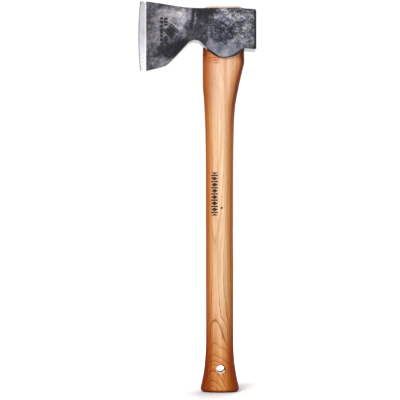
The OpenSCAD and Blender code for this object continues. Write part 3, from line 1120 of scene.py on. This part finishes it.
def wood_tints_and_shade(g, side, end):
    """Tints over the wood, and painted shade where it turns away. side and end say how much the surface faces
    along Y and along Z.
    """
    # It is darker low down, and painted shade darkens it where the haft turns away to its narrow sides.
    g.tint(g.fade(g.z, 150, 20), (0.77, 0.49, 0.23))
    turned_shade = g.ramp(side, [
        (0.25, (0.57, 0.29, 0.09)), (0.42, (0.43, 0.17, 0.034)), (0.64, (0.5, 0.215, 0.048)),
        (0.8, (0.59, 0.27, 0.08)), (0.905, (0.69, 0.44, 0.26)), (0.94, (0.75, 0.51, 0.33)),
        (0.972, (0.89, 0.78, 0.66)), (0.996, (1, 1, 1))])
    g.tint(g.fade(end, 0.95, 0.7), turned_shade)
    # A long band left of the middle, and a shorter one right of it above the knob.
    left = g.times(g.near(g.x, -5.5, 7.5, 1), g.fade(g.z, 115, 160, 0.2, 1))
    g.tint(left, (0.91, 0.85, 0.82))
    right = g.times(g.near(g.x, 6, 6, 1), g.near(g.z, 130, 60, 20))
    g.tint(right, (0.88, 0.82, 0.76))
    # The neck is a little redder, and the butt's border and the knob's flanks are darker.
    g.tint(g.fade(g.z, 330, 390), (0.93, 0.86, 0.88))
    g.tint(g.fade(g.z, 6, 0.5), (0.6, 0.45, 0.35))
    flanks = g.times(g.fade(g.absolute(g.x), 3, 15), g.fade(g.z, 110, 30))
    g.tint(flanks, (0.7, 0.45, 0.1))


def neck_marks(g, side):
    """Under the head: scraped and rasped in front, painted shade on the slope behind, dark and red at its
    corners.
    """
    scraped = g.times(g.fade(g.x, -3, -13), g.fade(g.z, 350, 395))
    g.tint(scraped, (0.8, 0.72, 0.64))
    # Painted shade on the slope behind, where the surface turns away.
    slope = g.times(g.fade(side, 0.93, 0.75), g.fade(g.z, 320, 395), g.fade(g.x, 5, 15))
    g.tint(slope, (0.5, 0.32, 0.22))
    for x, z in ((-SHOULDER_FRONT, EYE_TOP - 54), (SHOULDER_BACK - 1, EYE_TOP - 60)):
        g.tint(g.times(g.blob(x, z, 8, 15), 0.9), (0.42, 0.19, 0.09))
    g.tint(g.blob(-8, EYE_TOP - 60, 19, 13), (0.97, 0.8, 0.64))
    rasp = g.fade(g.noise((11, 11, 1.2), 4, 0.6), 0.49, 0.57)
    g.tint(g.times(rasp, g.blob(-8, EYE_TOP - 64, 24, 13)), (0.7, 0.4, 0.3))


def hole_and_ends(g, end_grain):
    """The butt's end grain, the hole with painted shade in its upper part, and the tenon's fresh end."""
    g.tint(g.times(end_grain, g.fade(g.z, 20, 10)), (0.5, 0.32, 0.2))
    dx, dz = g.less(g.x, HOLE.x), g.less(g.z, HOLE.z)
    above = g.fade(g.add(dz, g.times(dx, 0.5)), 0.5, 2.5)
    # Painted shade: the hole's wall is dark in its upper part, and pale fresh wood below.
    g.paint(g.mask("bore"), g.mix(above, rgb(252, 236, 218), HOLE_SHADE))
    lip = g.times(g.fade(g.length(dx, dz), HOLE_R + 1.8, HOLE_R + 1), above)
    # Painted shade on the lip round the hole's upper part.
    g.paint(g.times(lip, 0.75), HOLE_SHADE)
    fresh = g.fade(g.z, EYE_TOP + 0.3, EYE_TOP + 1.2)
    fresh = g.times(fresh, g.fade(end_grain, 0, 1, 0.8, 0.3))
    g.paint(fresh, rgb(248, 218, 196))


def haft_mark(g):
    """A plain printed ornament: a column of lozenges and bars, and a dot."""
    x0, z0, pitch = -6.6, 257, 8
    across, up = g.off(g.x, x0), g.off(g.z, z0)
    beat = g.times(g.off(g.math("FRACT", g.math("DIVIDE", up, pitch)), 0.5), pitch)
    lozenge = g.below(g.add(g.times(across, 0.62), beat), 2.7)
    bar = g.times(g.math("GREATER_THAN", beat, 3.05), g.below(across, 4.2))
    column = g.times(g.math("MAXIMUM", lozenge, bar), g.below(up, 28))
    dx, dz = g.less(g.x, x0 + 9.2), g.less(g.z, z0 - 18)
    dot = g.below(g.add(g.times(dx, dx), g.times(dz, dz)), 2.2)
    worn = g.fade(g.noise((0.9, 0.9, 4), 3), 0.26, 0.38)
    return g.times(g.math("MAXIMUM", column, dot), worn, g.below(g.y, 0), 0.95)


def haft_wood():
    """The haft: oiled and handled hickory, with its mark, and painted shade where it turns away."""
    g = Graph("haft_wood")
    _, y, z = g.facing()
    side, end = g.absolute(y), g.absolute(z)
    end_grain = g.fade(end, 0.8, 0.95)
    # Above the knob the arches are broad, and on it they are narrow.
    bend = g.times(g.fade(g.z, 15, 40, -0.006, 0.0035), g.fade(g.z, 150, 105))
    porous, dense, poor = growth_rings(g, bend)
    pores, streaks = bare_wood(g)
    wood_tints_and_shade(g, side, end)
    neck_marks(g, side)
    # The rings' lines are strongest low down and on end grain, and weakest on the neck.
    dense = g.times(dense, g.add(g.fade(g.z, 330, 400, 0.28, 0.12), g.times(end_grain, 0.4)))
    strength = g.add(g.fade(g.z, 150, 100, 0.5, 1), g.fade(g.z, 340, 400, 0, -0.3),
                     g.times(end_grain, 0.5))
    strength = g.times(strength, g.fade(poor, 0.35, 0.55, 0.75, 1))
    pore_line = g.times(porous, g.fade(pores, 0.36, 0.56, 0.45, 0.95), strength)
    ring_lines(g, dense, pore_line, pores)
    hole_and_ends(g, end_grain)
    g.paint(haft_mark(g), rgb(16, 12, 11))
    return finish_wood(g, porous, pores, streaks)


def wedge_wood():
    """The wooden wedge: the same hickory, without the haft's tints, painted shade or marks."""
    g = Graph("wedge_wood")
    porous, dense, _ = growth_rings(g)
    pores, streaks = bare_wood(g)
    pore_line = g.times(porous, g.fade(pores, 0.36, 0.56, 0.45, 0.95), 0.6)
    ring_lines(g, g.times(dense, 0.28), pore_line, pores)
    return finish_wood(g, porous, pores, streaks)


# ---- the object ----

head = build_head()
for material in (forged_steel(), ground_steel(), poll_steel()):
    head.data.materials.append(material)

haft = build_haft()
cut(haft, kerf_tool())
cut(haft, seat_tool())
haft.data.set_sharp_from_angle(angle=radians(40))
haft.data.materials.clear()
haft.data.materials.append(haft_wood())
build_eye_wedge().data.materials.append(wedge_wood())
build_ring_wedge().data.materials.append(ring_steel())


# ---- stage, light and camera, in metres ----

FLOOR_R = 9
# The floor glows from the first distance from the axe, and fully from the second, in millimetres.
GLOW_FROM, GLOW_FULL = 20, 220
LENS, SENSOR = 110, 36
VIEW_WIDE = 0.5208
VIEW_X, VIEW_Z = -0.0254, 0.2492
AIM = (-0.03, 0, 0.27)
# Rows of [name, place, aim, size, power].
LIGHTS = [
    ["key", (-1.35, -2.4, 2.6), AIM, (1.4, 1.4), 100],
    ["fill", (0.9, -1.9, 0.5), AIM, (0.8, 1), 3],
    ["back", (0.6, 1.7, 1.3), AIM, (1.2, 1), 20],
    ["side", (1.9, 1, 0.8), AIM, (0.9, 1.1), 16],
    ["card", (-0.79, -1.68, 0.33), (-0.1, 0, 0.46), (0.6, 0.66), 2.3],
]


def floor_paper():
    """Pale paper. Far from the axe it is plain white, whatever light reaches it."""
    g = Graph("floor_paper")
    g.colour = (0.9, 0.9, 0.9, 1)
    away = g.node("VectorMath", {0: g.place}, operation="LENGTH").outputs["Value"]
    glow = g.node("MapRange", {"Value": away, "From Min": GLOW_FROM, "From Max": GLOW_FULL}).outputs[0]
    glow = g.times(glow, g.node("LightPath", {}).outputs["Is Camera Ray"])
    return g.finish(Roughness=0.9, Emission_Color=(1, 1, 1, 1), Emission_Strength=glow)


def build_floor():
    bm = bmesh.new()
    bmesh.ops.create_circle(bm, cap_ends=True, segments=96, radius=FLOOR_R)
    mesh = bpy.data.meshes.new("floor")
    bm.to_mesh(mesh)
    bm.free()
    mesh.materials.append(floor_paper())
    new_object("floor", mesh)


def area_light(name, place, aim, size, power):
    data = bpy.data.lights.new(name, "AREA")
    data.shape = "RECTANGLE"
    data.size, data.size_y = size
    data.energy = power
    light = new_object(name, data)
    light.location = place
    light.rotation_mode = "QUATERNION"
    light.rotation_quaternion = (Vector(aim) - Vector(place)).to_track_quat("-Z", "Y")


def build_world():
    """White where the camera sees it, and dim where it only lights the axe."""
    world = bpy.data.worlds.new("studio")
    world.use_nodes = True
    nodes, links = world.node_tree.nodes, world.node_tree.links
    sky = nodes["Background"]
    sky.inputs["Color"].default_value = (1, 1, 1, 1)
    level = nodes.new("ShaderNodeMapRange")
    links.new(nodes.new("ShaderNodeLightPath").outputs["Is Camera Ray"], level.inputs["Value"])
    level.inputs["To Min"].default_value = 0.22
    level.inputs["To Max"].default_value = 1.05
    links.new(level.outputs[0], sky.inputs["Strength"])
    bpy.context.scene.world = world


def build_camera():
    data = bpy.data.cameras.new("camera")
    data.lens = LENS
    data.sensor_width = SENSOR
    data.clip_end = 50
    camera = new_object("camera", data)
    camera.location = (VIEW_X, -VIEW_WIDE * LENS / SENSOR, VIEW_Z)
    camera.rotation_euler = (pi / 2, 0, 0)
    bpy.context.scene.camera = camera


build_floor()
build_world()
build_camera()
for light in LIGHTS:
    area_light(*light)
bpy.context.scene.view_settings.view_transform = "Standard"
